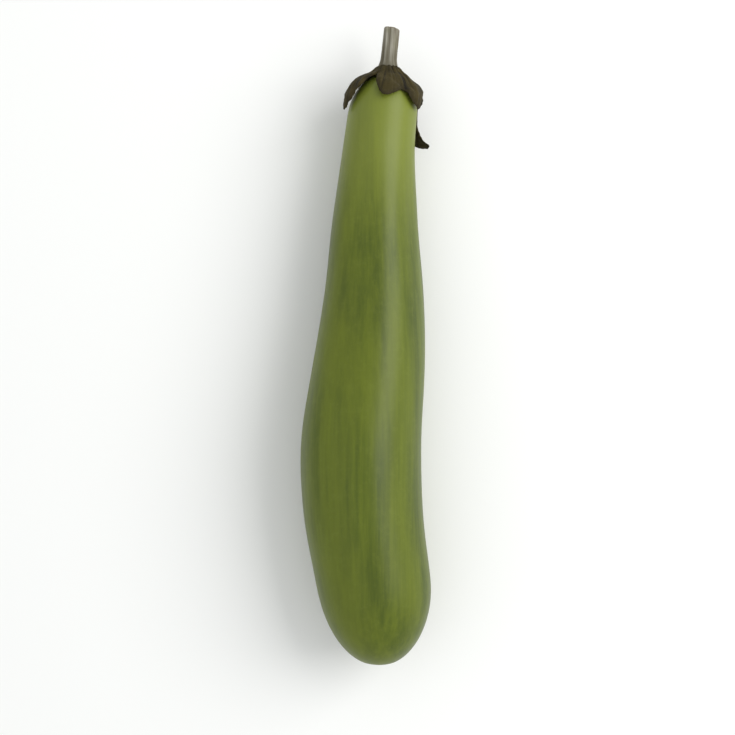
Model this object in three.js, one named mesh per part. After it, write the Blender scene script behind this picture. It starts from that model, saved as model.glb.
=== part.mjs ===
// A long pale green eggplant as picked, lying on its belly, with its dried calyx and cut stem still on it.
// Millimetres. +Y runs from the blossom end to the stem, +X is to the side, +Z is up, and the table is Z = 0.
import * as THREE from "three";

const { degToRad, lerp, smoothstep } = THREE.MathUtils;

// ---- Driving dimensions

const fruitLength = 252; // blossom end to the top of the shoulders
const bellyDiameter = 52; // where the fruit is widest
const neckDiameter = 29.4; // just below the calyx
const blossomRounding = 36; // length over which the blossom end rounds off
const shoulderRounding = 17; // length over which the shoulders close in under the calyx

const stemLength = 19; // above the top of the shoulders
const stemDiameter = 6.6;
const stemFlare = 0.5; // how much wider the foot of the stem is, on each side
const stemRidges = 5; // ridges along the stem, one to each lobe of the calyx
const stemRidgeHeight = 0.25;
const stemCutSlope = degToRad(9); // the cut isn't quite square

const lobeThickness = 1.1; // of the calyx, away from its edge
const lobeEdgeThickness = 0.5;
const lobeEdgeWidth = 2.5; // how far in from its edge a lobe gets thinner
const midribHeight = 0.5; // of the rib down the middle of each lobe
const midribWidth = 0.14; // as a share of the way from a lobe's middle to its side
const collarHeight = 3.2; // how far the calyx climbs the foot of the stem
const collarWidth = 1.6; // how far out from the stem that collar spreads
const clearance = 0.35; // between the calyx and what it grows on

// The five lobes of the calyx, in order around it from +X towards +Z.
// turn: the way a lobe points, in degrees. reach: from the stem to its tip, along the skin. gap: from the
// stem to the bottom of the gap before the next lobe. bluntness: 1 is a pointed triangle, 2 a round tongue.
// arch: how far its middle bows off the skin. lift: how far its tip stands off the skin. hollow: how much
// further its edges stand off than its middle. sway: how far its tip leans round the fruit, in degrees.
const lobes = [
  { turn: 36, reach: 20.5, gap: 13.0, bluntness: 1.5, arch: 1.6, lift: 1.0, hollow: 0.3, sway: -10 },
  { turn: 82, reach: 16.5, gap: 3.2, bluntness: 1.7, arch: 1.2, lift: 2.2, hollow: 0.4, sway: 6 },
  { turn: 154, reach: 20.5, gap: 3.6, bluntness: 1.3, arch: 2.4, lift: 1.2, hollow: 0.2, sway: 12 },
  { turn: 236, reach: 25.0, gap: 7.0, bluntness: 1.2, arch: 0.8, lift: 1.4, hollow: 0.5, sway: -8 },
  { turn: 286, reach: 35.0, gap: 6.0, bluntness: 2.6, arch: 1.0, lift: 7.0, hollow: 0.3, sway: 50 },
];

// How the fruit bends. Rows are an eighth of it apart, from the blossom end to past the top of the stem.
// Each gives the bow to the side, the underside's height over the table (below 0 it is pressed flat), and
// the fullness: 0 is as thin as the neck, and 1 as thick as the belly.
const spineRows = [
  [5.9, 2.8, 0.82],
  [3.7, 0.1, 0.86],
  [-0.9, -0.45, 0.95],
  [-1.9, -0.55, 0.97],
  [1.2, -0.4, 0.84],
  [3.5, 0.9, 0.6],
  [3.9, 3.6, 0.31],
  [5.8, 6.4, 0.06],
  [9.4, 8.6, 0],
  [12.4, 10.2, 0],
];

// ---- The spine

const spine = new THREE.CatmullRomCurve3(
  spineRows.map((row) => new THREE.Vector3(...row)),
  false,
  "catmullrom",
);
const spineLength = (fruitLength * (spineRows.length - 1)) / 8;

// The fruit this far from its blossom end: its middle, and its radius if its ends weren't rounded.
function spineAt(y) {
  const [bow, underside, fullness] = spine.getPoint(y / spineLength).toArray();
  const girth = lerp(neckDiameter, bellyDiameter, fullness) / 2;
  return { x: bow, z: underside + girth, girth };
}

// A point around the spine. Angles start at +X and turn through +Z. Nothing goes below the table.
function aroundSpine(radius, y, angle) {
  const { x, z } = spineAt(y);
  return new THREE.Vector3(x + radius * Math.cos(angle), y, Math.max(0, z + radius * Math.sin(angle)));
}

// ---- The skin: the fruit's outline, as its radius against the distance from the blossom end

// An elliptical end: 0 at its tip, and 1 from this length on.
const roundedEnd = (distance, length) => Math.sqrt(1 - Math.max(0, 1 - distance / length) ** 2);

class Skin extends THREE.Curve {
  arcLengthDivisions = 600;

  // Points crowd towards the two ends, where the outline turns quickly.
  getPoint(t, target = new THREE.Vector2()) {
    const y = (fruitLength * (1 - Math.cos(Math.PI * t))) / 2;
    const ends = roundedEnd(y, blossomRounding) * roundedEnd(fruitLength - y, shoulderRounding);
    return target.set(spineAt(y).girth * ends, y);
  }

  // The outline and its outward normal, this far down the skin from the top of the shoulders.
  downFromTop(distance) {
    const u = 1 - distance / this.getLength();
    const along = this.getTangentAt(u);
    return { at: this.getPointAt(u), out: new THREE.Vector2(along.y, -along.x) };
  }

  // How far down the skin from the top of the shoulders it first has this radius.
  distanceDownTo(radius) {
    const closeEnough = 0.001;
    let near = 0;
    let far = neckDiameter;
    while (far - near > closeEnough) {
      const middle = (near + far) / 2;
      if (this.downFromTop(middle).at.x < radius) near = middle;
      else far = middle;
    }
    return near;
  }
}
const skin = new Skin();

// ---- Turned shapes that are then bent

// Turns a profile about the Y axis, then moves each vertex to place(radius, y, angle).
function turned(profile, sides, place) {
  const geometry = new THREE.LatheGeometry(profile, sides).rotateY(Math.PI / 2);
  const position = geometry.getAttribute("position");
  for (let i = 0; i < position.count; i++) {
    const [x, y, z] = [position.getX(i), position.getY(i), position.getZ(i)];
    position.setXYZ(i, ...place(Math.hypot(x, z), y, Math.atan2(z, x)).toArray());
  }
  geometry.computeVertexNormals();
  return geometry;
}

function named(name, geometry, look) {
  const mesh = new THREE.Mesh(geometry, new THREE.MeshStandardMaterial(look));
  mesh.name = name;
  return mesh;
}

// ---- Fruit: skin and flesh grown as one solid

function makeFruit() {
  const rings = 44;
  const sides = 40;
  const geometry = turned(skin.getPoints(rings), sides, aroundSpine);
  return named("fruit", geometry, { color: 0x7f9140, roughness: 0.35 });
}

// ---- Stem: a ridged stalk, a little wider at its foot, cut across at the top

const stemRadius = (height) => stemDiameter / 2 + stemFlare * Math.exp(-height / stemDiameter);
const stemFoot = clearance; // its foot stands this far above the top of the shoulders

function makeStem() {
  const rings = 14;
  const sidesToARidge = 6;
  const outline = [new THREE.Vector2(0, stemFoot)];
  for (let i = 0; i <= rings; i++) {
    const height = lerp(stemFoot, stemLength, i / rings);
    outline.push(new THREE.Vector2(stemRadius(height), height));
  }
  outline.push(new THREE.Vector2(0, stemLength));

  // Ridges and the slope of the cut both grow from nothing at the foot.
  const place = (radius, height, angle) => {
    const grown = smoothstep(height, collarHeight, stemLength);
    const ridge = radius > 0 ? grown * stemRidgeHeight * Math.cos(stemRidges * angle) : 0;
    const slope = grown * Math.tan(stemCutSlope) * radius * Math.cos(angle);
    return aroundSpine(radius + ridge, fruitLength + height - slope, angle);
  };
  const geometry = turned(outline, sidesToARidge * stemRidges, place);
  return named("stem", geometry, { color: 0x8a8064, roughness: 0.8 });
}

// ---- Calyx: a collar around the foot of the stem that spreads into five dried lobes over the shoulders

const lobeNumber = (k) => lobes[((k % lobes.length) + lobes.length) % lobes.length];
const lobeTurn = (k) => lobeNumber(k).turn + 360 * Math.floor(k / lobes.length);

// The place this many lobes around the calyx: the lobe that it is on, how far off that lobe's middle it is
// (1 at the gaps), the turn, which runs evenly from lobe to lobe, and how far down the gaps start.
function aroundCalyx(count) {
  const nearest = Math.round(count);
  const before = Math.floor(count);
  const offset = 2 * (count - nearest);
  const gaps = [lobeNumber(nearest - 1).gap, lobeNumber(nearest).gap];
  return {
    lobe: lobeNumber(nearest),
    side: Math.abs(offset),
    turn: lerp(lobeTurn(before), lobeTurn(before + 1), count - before),
    gap: lerp(gaps[0], gaps[1], (1 + offset) / 2),
  };
}

function makeCalyx() {
  const rows = 12;
  const columnsToALobe = 16;
  const hollowStart = 0.3; // the share of a lobe by which it is fully hollow
  const tipCurl = 4.5; // the higher this is, the nearer to its tip a lobe lifts and sways
  const foot = skin.distanceDownTo(stemRadius(stemFoot) + clearance);
  const alongStem = new THREE.Vector2(0, 1);

  // In the profile, the radius less one is the way down a lobe, from 0 at the stem to 1 at its edge, and
  // the height is the way through it, from 0 underneath to 1 on top.
  const outline = [];
  for (let i = 0; i <= rows; i++) outline.push(new THREE.Vector2(1 + i / rows, 0));
  for (let i = rows; i >= 0; i--) outline.push(new THREE.Vector2(1 + i / rows, 1));
  outline.push(outline[0].clone());

  const place = (radius, through, angle) => {
    const { lobe, side, turn, gap } = aroundCalyx((angle / (2 * Math.PI)) * lobes.length);
    const edge = lerp(gap, lobe.reach, 1 - side ** lobe.bluntness);
    const down = (radius - 1) * edge;
    const free = Math.max(0, (down - gap) / (lobe.reach - gap)); // 1 at the tip, 0 where lobes are joined
    const off = lobe.arch * Math.sin(Math.PI * free) + lobe.lift * free ** tipCurl;
    const hollow = lobe.hollow * side ** 2 * smoothstep(free, 0, hollowStart);
    const thinning = smoothstep(edge - down, -lobeEdgeWidth, lobeEdgeWidth);
    const thickness = lerp(lobeEdgeThickness, lobeThickness, 2 * thinning - 1);
    const collar = (collarHeight - lobeThickness) * Math.exp(-((down / collarWidth) ** 2));
    const midrib = midribHeight * (1 - free) * Math.exp(-((side / midribWidth) ** 2));
    const height = clearance + off + hollow + through * (thickness + collar + midrib);
    const { at, out } = skin.downFromTop(foot + down);
    out.lerp(alongStem, Math.exp(-((down / collarWidth) ** 2))).normalize();
    const around = degToRad(turn + lobe.sway * free ** tipCurl);
    return aroundSpine(at.x + out.x * height, at.y + out.y * height, around);
  };
  const geometry = turned(outline, columnsToALobe * lobes.length, place);
  return named("calyx", geometry, { color: 0x4f4830, roughness: 0.85 });
}

// ---- The whole eggplant, with the origin under the middle of its box

const lying = new THREE.Group();
lying.add(makeFruit(), makeCalyx(), makeStem());
const box = new THREE.Box3().setFromObject(lying);
const middle = box.getCenter(new THREE.Vector3());
lying.position.set(-middle.x, -middle.y, -box.min.z);

const eggplant = new THREE.Group();
eggplant.add(lying);
export default eggplant;
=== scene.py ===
from math import atan2, cos, exp, radians, sin

import bmesh
import bpy
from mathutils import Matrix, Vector, kdtree, noise


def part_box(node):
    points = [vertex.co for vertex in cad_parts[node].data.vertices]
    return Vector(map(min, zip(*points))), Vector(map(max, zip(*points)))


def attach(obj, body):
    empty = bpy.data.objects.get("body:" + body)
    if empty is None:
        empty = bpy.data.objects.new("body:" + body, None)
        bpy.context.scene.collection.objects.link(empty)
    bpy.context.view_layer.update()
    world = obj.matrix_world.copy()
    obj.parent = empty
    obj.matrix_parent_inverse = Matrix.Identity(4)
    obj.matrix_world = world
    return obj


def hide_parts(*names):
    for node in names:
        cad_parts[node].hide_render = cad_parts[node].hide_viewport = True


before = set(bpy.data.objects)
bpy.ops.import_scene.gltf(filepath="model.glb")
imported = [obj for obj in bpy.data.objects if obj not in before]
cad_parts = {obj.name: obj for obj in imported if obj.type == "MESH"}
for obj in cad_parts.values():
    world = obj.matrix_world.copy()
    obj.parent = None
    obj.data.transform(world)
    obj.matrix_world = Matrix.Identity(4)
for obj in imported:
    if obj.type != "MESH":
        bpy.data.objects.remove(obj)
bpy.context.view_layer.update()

# ---- Fruit ----------------------------------------------------------------------------------------------
# The fruit is one long berry, spongy white flesh inside a thin waxy skin, grown in one piece.
# It hung by its stem, so it is slimmer at the neck, and it lies here on the flat spot under its belly.
# Its sides swell in five shallow ribs, one under each lobe of the calyx.

mm = 0.001
fruit_rib_depth = 0.35 * mm
fruit_dent_depth = 0.55 * mm
fruit_dent_size = 34 * mm
fruit_ripple_depth = 0.09 * mm
fruit_ripple_size = 7 * mm
blossom_scar_radius = 3.4 * mm
blossom_dimple_radius = 8 * mm
blossom_dimple_depth = 1.3 * mm
pale_neck_length = 85 * mm
pale_neck_full = 22 * mm


def grown_piece(name, node, rounding):
    """A new piece with the shape of a CAD node: its triangles merged into quads, then rounded."""
    shape = bmesh.new()
    shape.from_mesh(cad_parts[node].data)
    bmesh.ops.remove_doubles(shape, verts=shape.verts, dist=0.001 * mm)
    bmesh.ops.join_triangles(
        shape, faces=shape.faces, angle_face_threshold=radians(50), angle_shape_threshold=radians(60)
    )
    for edge in shape.edges:
        edge.smooth = True
    for face in shape.faces:
        face.smooth = True
    rough = bpy.data.meshes.new(name + "_rough")
    shape.to_mesh(rough)
    shape.free()
    rough.materials.clear()
    piece = bpy.data.objects.new(name, rough)
    bpy.context.collection.objects.link(piece)
    rounded = piece.modifiers.new("rounded", "SUBSURF")
    rounded.levels = rounded.render_levels = rounding
    finished = bpy.data.meshes.new_from_object(piece.evaluated_get(bpy.context.evaluated_depsgraph_get()))
    piece.modifiers.clear()
    piece.data = finished
    bpy.data.meshes.remove(rough)
    finished.name = name
    return piece


def resting_shape(piece):
    """Each vertex with its normal from before any vertex moves, because a move makes every normal stale."""
    normals = [vert.normal.copy() for vert in piece.data.vertices]
    return zip(piece.data.vertices, normals)


def ease(value, start, end):
    """0 before start, 1 after end, and a smooth rise between them."""
    share = min(1.0, max(0.0, (value - start) / (end - start)))
    return share * share * (3 - 2 * share)


def store(piece, name, values):
    """Gives each vertex of a piece a number that its material reads by this name."""
    piece.data.attributes.new(name, "FLOAT", "POINT").data.foreach_set("value", values)


def middle_of(points):
    return sum((point.copy() for point in points), Vector()) / len(points)


fruit = grown_piece("eggplant_fruit", "fruit", 2)
fruit_low, fruit_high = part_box("fruit")
calyx_low, calyx_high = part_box("calyx")
blossom_tip = min((vert.co for vert in fruit.data.vertices), key=lambda co: co.y).copy()
neck_ring = [v.co for v in fruit.data.vertices if abs(v.co.y - calyx_low.y) < 1.5 * mm]
neck_middle = middle_of(neck_ring)


def fruit_middle(y):
    """The middle of the fruit's own cross-section at this y, from a few sections along it."""
    place = (y - fruit_low.y) / (fruit_high.y - fruit_low.y) * (len(fruit_sections) - 1)
    place = min(max(place, 0.0), len(fruit_sections) - 1.001)
    before = int(place)
    return fruit_sections[before].lerp(fruit_sections[before + 1], place - before)


section_count = 41
fruit_sections = []
for section in range(section_count):
    y = fruit_low.y + (fruit_high.y - fruit_low.y) * section / (section_count - 1)
    ring = [v.co for v in fruit.data.vertices if abs(v.co.y - y) < 2.5 * mm]
    fruit_sections.append(middle_of(ring))

neck_paleness = []
for vert, normal in resting_shape(fruit):
    co = vert.co.copy()
    neck_paleness.append(ease(co.y, calyx_high.y - pale_neck_length, calyx_high.y - pale_neck_full))
    off_middle = co - fruit_middle(co.y)
    angle = atan2(off_middle.z, off_middle.x)
    swell = ease(co.y - fruit_low.y, 0, 60 * mm) * ease(calyx_low.y - co.y, -5 * mm, 30 * mm)
    rib = fruit_rib_depth * swell * cos(5 * angle + 6 * co.y)
    dent_place = Vector((co.x, co.y * 0.55, co.z)) / fruit_dent_size
    dent = fruit_dent_depth * swell * noise.noise(dent_place)
    ripple_place = Vector((co.x, co.y * 0.25, co.z)) / fruit_ripple_size
    ripple = fruit_ripple_depth * noise.noise(ripple_place)
    off_floor = ease(co.z, 0.3 * mm, 6 * mm)
    from_tip = (co - blossom_tip).length
    dimple = blossom_dimple_depth * exp(-((from_tip / (blossom_dimple_radius / 2)) ** 2))
    vert.co = co + normal * (off_floor * (rib + dent + ripple) - dimple)
store(fruit, "neck_paleness", neck_paleness)


def colour(code):
    """An sRGB hex colour as the linear colour that a shader takes."""
    parts = [int(code[i : i + 2], 16) / 255 for i in (1, 3, 5)]
    return (*(p / 12.92 if p <= 0.04045 else ((p + 0.055) / 1.055) ** 2.4 for p in parts), 1.0)


def add(material, kind, inputs=None, **settings):
    """Adds a node to a material, with its settings, and its inputs as values or links."""
    node = material.node_tree.nodes.new(kind)
    for setting, value in settings.items():
        setattr(node, setting, value)
    for socket, value in (inputs or {}).items():
        if isinstance(value, bpy.types.NodeSocket):
            material.node_tree.links.new(value, node.inputs[socket])
        else:
            node.inputs[socket].default_value = value
    return node


# The sockets of a Mix node that mixes colours.
SHARE, FIRST, SECOND, MIXED = 0, 6, 7, 2

# Waxy eggplant skin: green flesh shows a little through a clear cuticle. It gives the eye a soft gloss
# with a sharper film of wax on it, faint pale and dark streaks that run along the fruit, and long patches
# of lighter green where the sun reached it.
skin = bpy.data.materials.new("waxy_eggplant_skin")
skin.use_nodes = True
skin_shader = skin.node_tree.nodes["Principled BSDF"]
skin_place = add(skin, "ShaderNodeTexCoord").outputs["Object"]

streak_width, streak_length = 2.2 * mm, 55 * mm
band_width, band_length = 11 * mm, 120 * mm
patch_width, patch_length = 20 * mm, 85 * mm
mottle_size = 3.2 * mm
skin_grain_size = 0.9 * mm
scar_grain_size = 2.5 * mm
along = add(
    skin,
    "ShaderNodeMapping",
    {"Vector": skin_place, "Scale": (1 / streak_width, 1 / streak_length, 1 / streak_width)},
)
streaks = add(
    skin, "ShaderNodeTexNoise", {"Vector": along.outputs[0], "Scale": 1.0, "Detail": 4.0, "Roughness": 0.62}
)
broad_along = add(
    skin,
    "ShaderNodeMapping",
    {"Vector": skin_place, "Scale": (1 / band_width, 1 / band_length, 1 / band_width)},
)
bands = add(skin, "ShaderNodeTexNoise", {"Vector": broad_along.outputs[0], "Scale": 1.0, "Detail": 2.0})
patches_along = add(
    skin,
    "ShaderNodeMapping",
    {"Vector": skin_place, "Scale": (1 / patch_width, 1 / patch_length, 1 / patch_width)},
)
patches = add(
    skin, "ShaderNodeTexNoise", {"Vector": patches_along.outputs[0], "Scale": 1.0, "Detail": 3.0}
)
mottle = add(
    skin,
    "ShaderNodeTexNoise",
    {"Vector": skin_place, "Scale": 1 / mottle_size, "Detail": 4.0, "Roughness": 0.7},
)

streak_share = add(
    skin, "ShaderNodeMapRange", {"Value": streaks.outputs["Fac"], "From Min": 0.36, "From Max": 0.68}
)
band_share = add(
    skin, "ShaderNodeMapRange", {"Value": bands.outputs["Fac"], "From Min": 0.34, "From Max": 0.66}
)
patch_share = add(
    skin,
    "ShaderNodeMapRange",
    {"Value": patches.outputs["Fac"], "From Min": 0.4, "From Max": 0.68, "To Max": 0.8},
)
mottle_share = add(
    skin,
    "ShaderNodeMapRange",
    {"Value": mottle.outputs["Fac"], "From Min": 0.5, "From Max": 0.75, "To Max": 0.15},
)
green = add(
    skin,
    "ShaderNodeMix",
    {SHARE: band_share.outputs[0], FIRST: colour("#3b4804"), SECOND: colour("#556209")},
    data_type="RGBA",
)
streaked = add(
    skin,
    "ShaderNodeMix",
    {SHARE: streak_share.outputs[0], FIRST: colour("#404e06"), SECOND: colour("#677218")},
    data_type="RGBA",
)
greens = add(
    skin,
    "ShaderNodeMix",
    {SHARE: 0.45, FIRST: green.outputs[MIXED], SECOND: streaked.outputs[MIXED]},
    data_type="RGBA",
)
sunned = add(
    skin,
    "ShaderNodeMix",
    {SHARE: patch_share.outputs[0], FIRST: greens.outputs[MIXED], SECOND: colour("#646f0f")},
    data_type="RGBA",
)
speckled = add(
    skin,
    "ShaderNodeMix",
    {SHARE: mottle_share.outputs[0], FIRST: sunned.outputs[MIXED], SECOND: colour("#788232")},
    data_type="RGBA",
)

# Skin shaded by the calyx stays paler, and greens down the neck.
neck_attribute = add(skin, "ShaderNodeAttribute", attribute_name="neck_paleness")
neck_share = add(
    skin, "ShaderNodeMapRange", {"Value": neck_attribute.outputs["Fac"], "To Max": 0.5}
)
pale_necked = add(
    skin,
    "ShaderNodeMix",
    {SHARE: neck_share.outputs[0], FIRST: speckled.outputs[MIXED], SECOND: colour("#848d3a")},
    data_type="RGBA",
)

# The cork scar where the flower dropped off, at the middle of the dimple.
scar_place = add(skin, "ShaderNodeMapping", {"Vector": skin_place, "Location": -blossom_tip})
scar_distance = add(skin, "ShaderNodeVectorMath", {0: scar_place.outputs[0]}, operation="LENGTH")
scar_noise = add(
    skin, "ShaderNodeTexNoise", {"Vector": skin_place, "Scale": 1 / scar_grain_size, "Detail": 6.0}
)
scar_edge = add(
    skin,
    "ShaderNodeMath",
    {0: scar_noise.outputs["Fac"], 1: 2.4 * mm, 2: scar_distance.outputs["Value"]},
    operation="MULTIPLY_ADD",
)
scar_share = add(
    skin,
    "ShaderNodeMapRange",
    {
        "Value": scar_edge.outputs[0],
        "From Min": blossom_scar_radius + 1.7 * mm,
        "From Max": blossom_scar_radius + 0.8 * mm,
    },
    interpolation_type="SMOOTHSTEP",
)
scar_cork = add(
    skin,
    "ShaderNodeMix",
    {SHARE: scar_noise.outputs["Fac"], FIRST: colour("#33300f"), SECOND: colour("#7d7740")},
    data_type="RGBA",
)
scarred = add(
    skin,
    "ShaderNodeMix",
    {SHARE: scar_share.outputs[0], FIRST: pale_necked.outputs[MIXED], SECOND: scar_cork.outputs[MIXED]},
    data_type="RGBA",
)
skin.node_tree.links.new(scarred.outputs[MIXED], skin_shader.inputs["Base Color"])

skin_gloss = add(
    skin,
    "ShaderNodeMapRange",
    {"Value": patches.outputs["Fac"], "From Min": 0.3, "From Max": 0.7, "To Min": 0.38, "To Max": 0.5},
)
scar_gloss = add(
    skin,
    "ShaderNodeMix",
    {0: scar_share.outputs[0], 2: skin_gloss.outputs[0], 3: 0.85},
    data_type="FLOAT",
)
skin.node_tree.links.new(scar_gloss.outputs[0], skin_shader.inputs["Roughness"])
skin_grain = add(
    skin, "ShaderNodeTexNoise", {"Vector": skin_place, "Scale": 1 / skin_grain_size, "Detail": 3.0}
)
skin_relief = add(
    skin, "ShaderNodeBump", {"Strength": 0.12, "Distance": 0.15 * mm, "Height": skin_grain.outputs["Fac"]}
)
streak_relief = add(
    skin,
    "ShaderNodeBump",
    {
        "Strength": 0.25,
        "Distance": 0.12 * mm,
        "Height": streaks.outputs["Fac"],
        "Normal": skin_relief.outputs[0],
    },
)
scar_height = add(
    skin,
    "ShaderNodeMath",
    {0: scar_share.outputs[0], 1: scar_noise.outputs["Fac"]},
    operation="MULTIPLY",
)
scar_relief = add(
    skin,
    "ShaderNodeBump",
    {
        "Strength": 0.8,
        "Distance": 0.7 * mm,
        "Height": scar_height.outputs[0],
        "Normal": streak_relief.outputs[0],
    },
)
skin.node_tree.links.new(scar_relief.outputs[0], skin_shader.inputs["Normal"])
skin_shader.inputs["IOR"].default_value = 1.45
skin_shader.inputs["Subsurface Weight"].default_value = 0.12
skin_shader.inputs["Subsurface Radius"].default_value = (1.0, 1.0, 0.25)
skin_shader.inputs["Subsurface Scale"].default_value = 2 * mm
skin_shader.inputs["Specular IOR Level"].default_value = 0.32
skin_shader.inputs["Coat Weight"].default_value = 0.12
skin_shader.inputs["Coat Roughness"].default_value = 0.28
fruit.data.materials.append(skin)
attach(fruit, "root")
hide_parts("fruit")

# ---- Calyx ----------------------------------------------------------------------------------------------
# The calyx is the flower's green cup, left on the fruit: a collar round the stem that splits into five
# pointed lobes. It has dried since picking, so it is brown and leathery, with wrinkles that run out from
# the stem along each lobe, and thin edges that have curled and crinkled.

wrinkle_depth = 0.26 * mm
wrinkle_spacing = 2.6 * mm
wrinkle_length = 16 * mm
buckle_depth = 0.5 * mm
buckle_size = 6.5 * mm
crinkle_depth = 1.1 * mm
crinkle_size = 4.2 * mm
crinkle_reach = 3.2 * mm
leaf_patch_size = 4.5 * mm
leaf_grain_size = 0.7 * mm
vein_spacing = 1.3 * mm

calyx = grown_piece("eggplant_calyx", "calyx", 2)
neck_radius = sum((co - neck_middle).length for co in neck_ring) / len(neck_ring)
rough_calyx = bmesh.new()
rough_calyx.from_mesh(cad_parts["calyx"].data)
bmesh.ops.remove_doubles(rough_calyx, verts=rough_calyx.verts, dist=0.001 * mm)
rim_points = [
    (edge.verts[0].co + edge.verts[1].co) / 2
    for edge in rough_calyx.edges
    if edge.calc_face_angle(0) > radians(60)
]
rough_calyx.free()
rim = kdtree.KDTree(len(rim_points))
for number, point in enumerate(rim_points):
    rim.insert(point, number)
rim.balance()

wrinkles, rim_closeness = [], []
for vert, normal in resting_shape(calyx):
    co = vert.co.copy()
    off_middle = co - fruit_middle(co.y)
    off_middle.y = 0
    outward = off_middle.normalized()
    angle = atan2(off_middle.z, off_middle.x)
    to_rim = rim.find(co)[2]
    near_rim = 1 - ease(to_rim, 0, crinkle_reach)
    ring = Vector((cos(angle), sin(angle), 0))
    down = Vector((0, 0, co.y))
    wrinkle = 1 - 3 * abs(noise.noise(ring * neck_radius / wrinkle_spacing + down / wrinkle_length))
    fine = 1 - 3 * abs(noise.noise((ring * neck_radius * 2.4 + down * 0.5) / wrinkle_spacing))
    relief = 0.7 * max(wrinkle, -1) + 0.35 * max(fine, -1)
    crinkle = noise.noise(co / crinkle_size) + 0.5 * noise.noise(co / (crinkle_size / 2.2))
    wave = crinkle_depth * near_rim * max(crinkle, -0.25)
    buckle = buckle_depth * max(noise.noise(co / buckle_size), -0.3) * ease(to_rim, 0, 2 * mm)
    vert.co = co + normal * (wrinkle_depth * relief) + outward * (wave + buckle)
    wrinkles.append(0.5 + 0.5 * relief)
    rim_closeness.append(near_rim)

store(calyx, "wrinkles", wrinkles)
store(calyx, "rim_closeness", rim_closeness)

# Dried leaf: like thin vegetable-tanned leather, matte and a little fibrous. It gives the eye a dark brown
# with a tan cast on the tops of the wrinkles, partly the leaf's own lighter ribs and partly a painted
# highlight, painted shade near black in the grooves, and near black along the curled rims.
dried_leaf = bpy.data.materials.new("dried_calyx_leaf")
dried_leaf.use_nodes = True
leaf_shader = dried_leaf.node_tree.nodes["Principled BSDF"]
leaf_place = add(dried_leaf, "ShaderNodeTexCoord").outputs["Object"]
leaf_relief = add(dried_leaf, "ShaderNodeAttribute", attribute_name="wrinkles")
leaf_rim = add(dried_leaf, "ShaderNodeAttribute", attribute_name="rim_closeness")
leaf_patches = add(
    dried_leaf,
    "ShaderNodeTexNoise",
    {"Vector": leaf_place, "Scale": 1 / leaf_patch_size, "Detail": 6.0, "Roughness": 0.65},
)
leaf_grain = add(
    dried_leaf,
    "ShaderNodeTexNoise",
    {"Vector": leaf_place, "Scale": 1 / leaf_grain_size, "Detail": 5.0, "Roughness": 0.7},
)
# Painted shade and highlight: the wrinkle height turns the leaf near black down in the grooves and lighter on
# the ridges, where the ridges are partly the leaf's own tan ribs.
ridge_highlight_and_groove_shade_share = add(
    dried_leaf,
    "ShaderNodeMapRange",
    {"Value": leaf_relief.outputs["Fac"], "From Min": 0.1, "From Max": 0.8},
    interpolation_type="SMOOTHSTEP",
)
groove_shaded_ridge_tan_brown = add(
    dried_leaf,
    "ShaderNodeMix",
    {SHARE: ridge_highlight_and_groove_shade_share.outputs[0], FIRST: colour("#171305"), SECOND: colour("#393113")},
    data_type="RGBA",
)
patch_brown = add(
    dried_leaf,
    "ShaderNodeMapRange",
    {"Value": leaf_patches.outputs["Fac"], "From Min": 0.48, "From Max": 0.7, "To Max": 0.7},
)
leaf_tan = add(
    dried_leaf,
    "ShaderNodeMix",
    {SHARE: patch_brown.outputs[0], FIRST: groove_shaded_ridge_tan_brown.outputs[MIXED], SECOND: colour("#483e1b")},
    data_type="RGBA",
)
rim_share = add(
    dried_leaf,
    "ShaderNodeMapRange",
    {"Value": leaf_rim.outputs["Fac"], "From Min": 0.35, "From Max": 1.0, "To Max": 0.45},
)
leaf_rimmed = add(
    dried_leaf,
    "ShaderNodeMix",
    {SHARE: rim_share.outputs[0], FIRST: leaf_tan.outputs[MIXED], SECOND: colour("#171308")},
    data_type="RGBA",
)
dried_leaf.node_tree.links.new(leaf_rimmed.outputs[MIXED], leaf_shader.inputs["Base Color"])
leaf_roughness = add(
    dried_leaf,
    "ShaderNodeMapRange",
    {"Value": leaf_grain.outputs["Fac"], "From Min": 0.3, "From Max": 0.7, "To Min": 0.62, "To Max": 0.88},
)
dried_leaf.node_tree.links.new(leaf_roughness.outputs[0], leaf_shader.inputs["Roughness"])
leaf_bump = add(
    dried_leaf, "ShaderNodeBump", {"Strength": 0.5, "Distance": 0.2 * mm, "Height": leaf_grain.outputs["Fac"]}
)
leaf_veins = add(
    dried_leaf,
    "ShaderNodeTexVoronoi",
    {"Vector": leaf_place, "Scale": 1 / vein_spacing},
    feature="DISTANCE_TO_EDGE",
)
vein_bump = add(
    dried_leaf,
    "ShaderNodeBump",
    {
        "Strength": 0.55,
        "Distance": 0.25 * mm,
        "Height": leaf_veins.outputs["Distance"],
        "Normal": leaf_bump.outputs[0],
    },
)
dried_leaf.node_tree.links.new(vein_bump.outputs[0], leaf_shader.inputs["Normal"])
leaf_shader.inputs["Specular IOR Level"].default_value = 0.22
calyx.data.materials.append(dried_leaf)
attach(calyx, "root")
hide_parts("calyx")

# ---- Stem -----------------------------------------------------------------------------------------------
# The stem is the fruit's stalk, cut across with shears a couple of centimetres above the calyx. It is woody
# and has dried to a grey brown. Five ridges run up from the lobes of the calyx, with finer ribs between,
# and the cut end has shrunk round a hollow pith.

stem_rib_depth = 0.16 * mm
stem_rib_length = 1 / 45  # about 22 mm
stem_swelling = 0.5 * mm
pith_radius = 1.0 * mm
pith_depth = 0.8 * mm
cut_grain_size = 0.9 * mm
cut_grain_depth = 0.12 * mm
fibre_width, fibre_length = 0.5 * mm, 9 * mm

stem = grown_piece("eggplant_stem", "stem", 3)
stem_low, stem_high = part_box("stem")
stem_top_middle = middle_of([v.co for v in stem.data.vertices if v.co.y > stem_high.y - 1.2 * mm])
stem_foot_middle = middle_of([v.co for v in stem.data.vertices if v.co.y < stem_low.y + 1.2 * mm])
stem_axis = (stem_top_middle - stem_foot_middle).normalized()
collar_top = calyx_high.y

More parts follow.
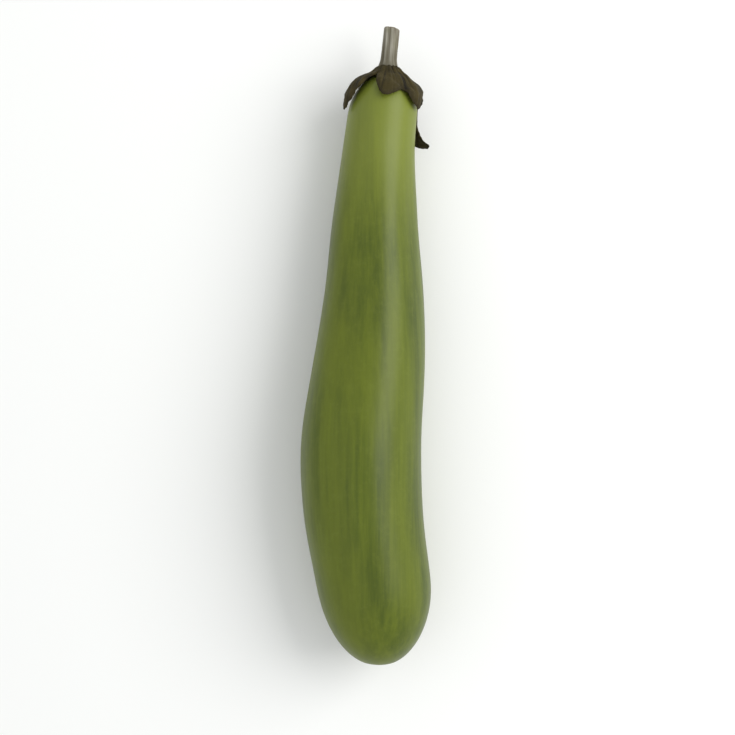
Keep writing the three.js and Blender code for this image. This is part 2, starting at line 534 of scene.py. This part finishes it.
stem_ribs, stem_cut, stem_pith, stem_foot_closeness = [], [], [], []
for vert, normal in resting_shape(stem):
    co = vert.co.copy()
    up = (co - stem_foot_middle).dot(stem_axis)
    off_axis = co - stem_foot_middle - stem_axis * up
    angle = atan2(off_axis.z, off_axis.x)
    facing_out = 1 - ease(normal.dot(stem_axis), 0.35, 0.8)
    ring = Vector((cos(angle), sin(angle), 0))
    broad_rib = noise.noise(ring * 3.2 + Vector((0, 0, up / stem_rib_length)))
    fine_rib = noise.noise(ring * 8 + Vector((0, 0, 2 * up / stem_rib_length)))
    rib = broad_rib + 0.5 * fine_rib
    swelling = stem_swelling * (1 - ease(co.y, collar_top - 1.0 * mm, collar_top + 2.5 * mm))
    off_fruit = ease(normal.dot(stem_axis), -0.8, -0.35)
    moved = normal * facing_out * off_fruit * (stem_rib_depth * rib + swelling)
    in_pith = (1 - facing_out) * (1 - ease(off_axis.length, pith_radius * 0.6, pith_radius * 1.7))
    moved -= stem_axis * pith_depth * in_pith
    cut_grain = (1 - facing_out) * cut_grain_depth * noise.noise(co / cut_grain_size)
    vert.co = co + moved + stem_axis * cut_grain
    stem_ribs.append(0.5 + 0.5 * rib)
    stem_cut.append(1 - facing_out)
    stem_pith.append(in_pith)
    stem_foot_closeness.append(1 - ease(co.y, collar_top - 2 * mm, stem_high.y - 4 * mm))
store(stem, "ribs", stem_ribs)
store(stem, "cut", stem_cut)
store(stem, "pith", stem_pith)
store(stem, "foot_closeness", stem_foot_closeness)

# Dry green wood: a bark of lengthwise fibres, silvery grey-brown, and a darker, browner cut across the
# fibres with a pale pith. It gives the eye fine lengthwise lines, painted shade in the grooves between the
# ribs, a darker foot and no gloss.
stalk_wood = bpy.data.materials.new("dry_woody_stalk")
stalk_wood.use_nodes = True
wood_shader = stalk_wood.node_tree.nodes["Principled BSDF"]
wood_place = add(stalk_wood, "ShaderNodeTexCoord").outputs["Object"]
fibres_along = add(
    stalk_wood,
    "ShaderNodeMapping",
    {"Vector": wood_place, "Scale": (1 / fibre_width, 1 / fibre_length, 1 / fibre_width)},
)
fibres = add(
    stalk_wood, "ShaderNodeTexNoise", {"Vector": fibres_along.outputs[0], "Scale": 1.0, "Detail": 4.0}
)
wood_patches = add(
    stalk_wood, "ShaderNodeTexNoise", {"Vector": wood_place, "Scale": 1 / (5 * mm), "Detail": 4.0}
)
rib_height = add(stalk_wood, "ShaderNodeAttribute", attribute_name="ribs")
cut_face = add(stalk_wood, "ShaderNodeAttribute", attribute_name="cut")
bark = add(
    stalk_wood,
    "ShaderNodeMix",
    {SHARE: fibres.outputs["Fac"], FIRST: colour("#5c5747"), SECOND: colour("#c2beaf")},
    data_type="RGBA",
)
# Painted shade: the bark darkens to a dull brown down in the grooves between the ribs, where the rib height
# is low.
rib_groove_shade_share = add(
    stalk_wood,
    "ShaderNodeMapRange",
    {"Value": rib_height.outputs["Fac"], "From Min": 0.25, "From Max": 0.8},
)
bark_with_groove_shade = add(
    stalk_wood,
    "ShaderNodeMix",
    {SHARE: rib_groove_shade_share.outputs[0], FIRST: colour("#544c38"), SECOND: bark.outputs[MIXED]},
    data_type="RGBA",
)
green_share = add(
    stalk_wood,
    "ShaderNodeMapRange",
    {"Value": wood_patches.outputs["Fac"], "From Min": 0.5, "From Max": 0.75, "To Max": 0.5},
)
bark_patched = add(
    stalk_wood,
    "ShaderNodeMix",
    {SHARE: green_share.outputs[0], FIRST: bark_with_groove_shade.outputs[MIXED], SECOND: colour("#6c6a4b")},
    data_type="RGBA",
)
foot_closeness = add(stalk_wood, "ShaderNodeAttribute", attribute_name="foot_closeness")
foot_share = add(
    stalk_wood, "ShaderNodeMapRange", {"Value": foot_closeness.outputs["Fac"], "To Max": 0.62}
)
bark_darkened = add(
    stalk_wood,
    "ShaderNodeMix",
    {SHARE: foot_share.outputs[0], FIRST: bark_patched.outputs[MIXED], SECOND: colour("#57523f")},
    data_type="RGBA",
)
pith = add(stalk_wood, "ShaderNodeAttribute", attribute_name="pith")
cut_wood = add(
    stalk_wood,
    "ShaderNodeMix",
    {SHARE: pith.outputs["Fac"], FIRST: colour("#6f6148"), SECOND: colour("#9c9073")},
    data_type="RGBA",
)
wood_ended = add(
    stalk_wood,
    "ShaderNodeMix",
    {SHARE: cut_face.outputs["Fac"], FIRST: bark_darkened.outputs[MIXED], SECOND: cut_wood.outputs[MIXED]},
    data_type="RGBA",
)
stalk_wood.node_tree.links.new(wood_ended.outputs[MIXED], wood_shader.inputs["Base Color"])
wood_bump = add(
    stalk_wood, "ShaderNodeBump", {"Strength": 0.6, "Distance": 0.2 * mm, "Height": fibres.outputs["Fac"]}
)
stalk_wood.node_tree.links.new(wood_bump.outputs[0], wood_shader.inputs["Normal"])
wood_shader.inputs["Roughness"].default_value = 0.82
stem.data.materials.append(stalk_wood)
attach(stem, "root")
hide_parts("stem")

# ---- Floor, light and camera ----------------------------------------------------------------------------
# A plain white floor, with one large soft light high on the stem side and to the right, a dimmer one on
# the left, and a camera straight above that looks down on the eggplant.

floor_half_width = 12
floor_mesh = bpy.data.meshes.new("floor")
floor_shape = bmesh.new()
bmesh.ops.create_grid(floor_shape, x_segments=1, y_segments=1, size=floor_half_width)
floor_shape.to_mesh(floor_mesh)
floor_shape.free()
floor = bpy.data.objects.new("floor", floor_mesh)
bpy.context.collection.objects.link(floor)
white_card = bpy.data.materials.new("white_card")
white_card.use_nodes = True
white_card.node_tree.nodes["Principled BSDF"].inputs["Base Color"].default_value = colour("#f2f2ef")
white_card.node_tree.nodes["Principled BSDF"].inputs["Roughness"].default_value = 0.9
floor_mesh.materials.append(white_card)

world = bpy.data.worlds.new("studio")
world.use_nodes = True
world.node_tree.nodes["Background"].inputs["Color"].default_value = colour("#f4f6f8")
world.node_tree.nodes["Background"].inputs["Strength"].default_value = 0.82
bpy.context.scene.world = world


def soft_light(name, place, size, watts):
    """A square area light that faces the eggplant."""
    lamp = bpy.data.lights.new(name, "AREA")
    lamp.size = size
    lamp.energy = watts
    light = bpy.data.objects.new(name, lamp)
    light.location = place
    light.rotation_euler = (-Vector(place)).to_track_quat("-Z", "Y").to_euler()
    bpy.context.collection.objects.link(light)


soft_light("key_light", (0.95, 0.3, 0.95), 1.0, 13)
soft_light("fill_light", (-0.7, -0.1, 1.0), 0.9, 0.5)

sensor_width = 36.0
picture_width = 0.3124
camera_distance = 0.65
camera_data = bpy.data.cameras.new("camera")
camera_data.sensor_width = sensor_width
camera_data.lens = sensor_width * camera_distance / picture_width
camera = bpy.data.objects.new("camera", camera_data)
camera.location = (0.85 * mm, fruit_low.y + 126.4 * mm, fruit_high.z / 2 + camera_distance)
bpy.context.collection.objects.link(camera)
bpy.context.scene.camera = camera
bpy.context.scene.view_settings.view_transform = "Standard"
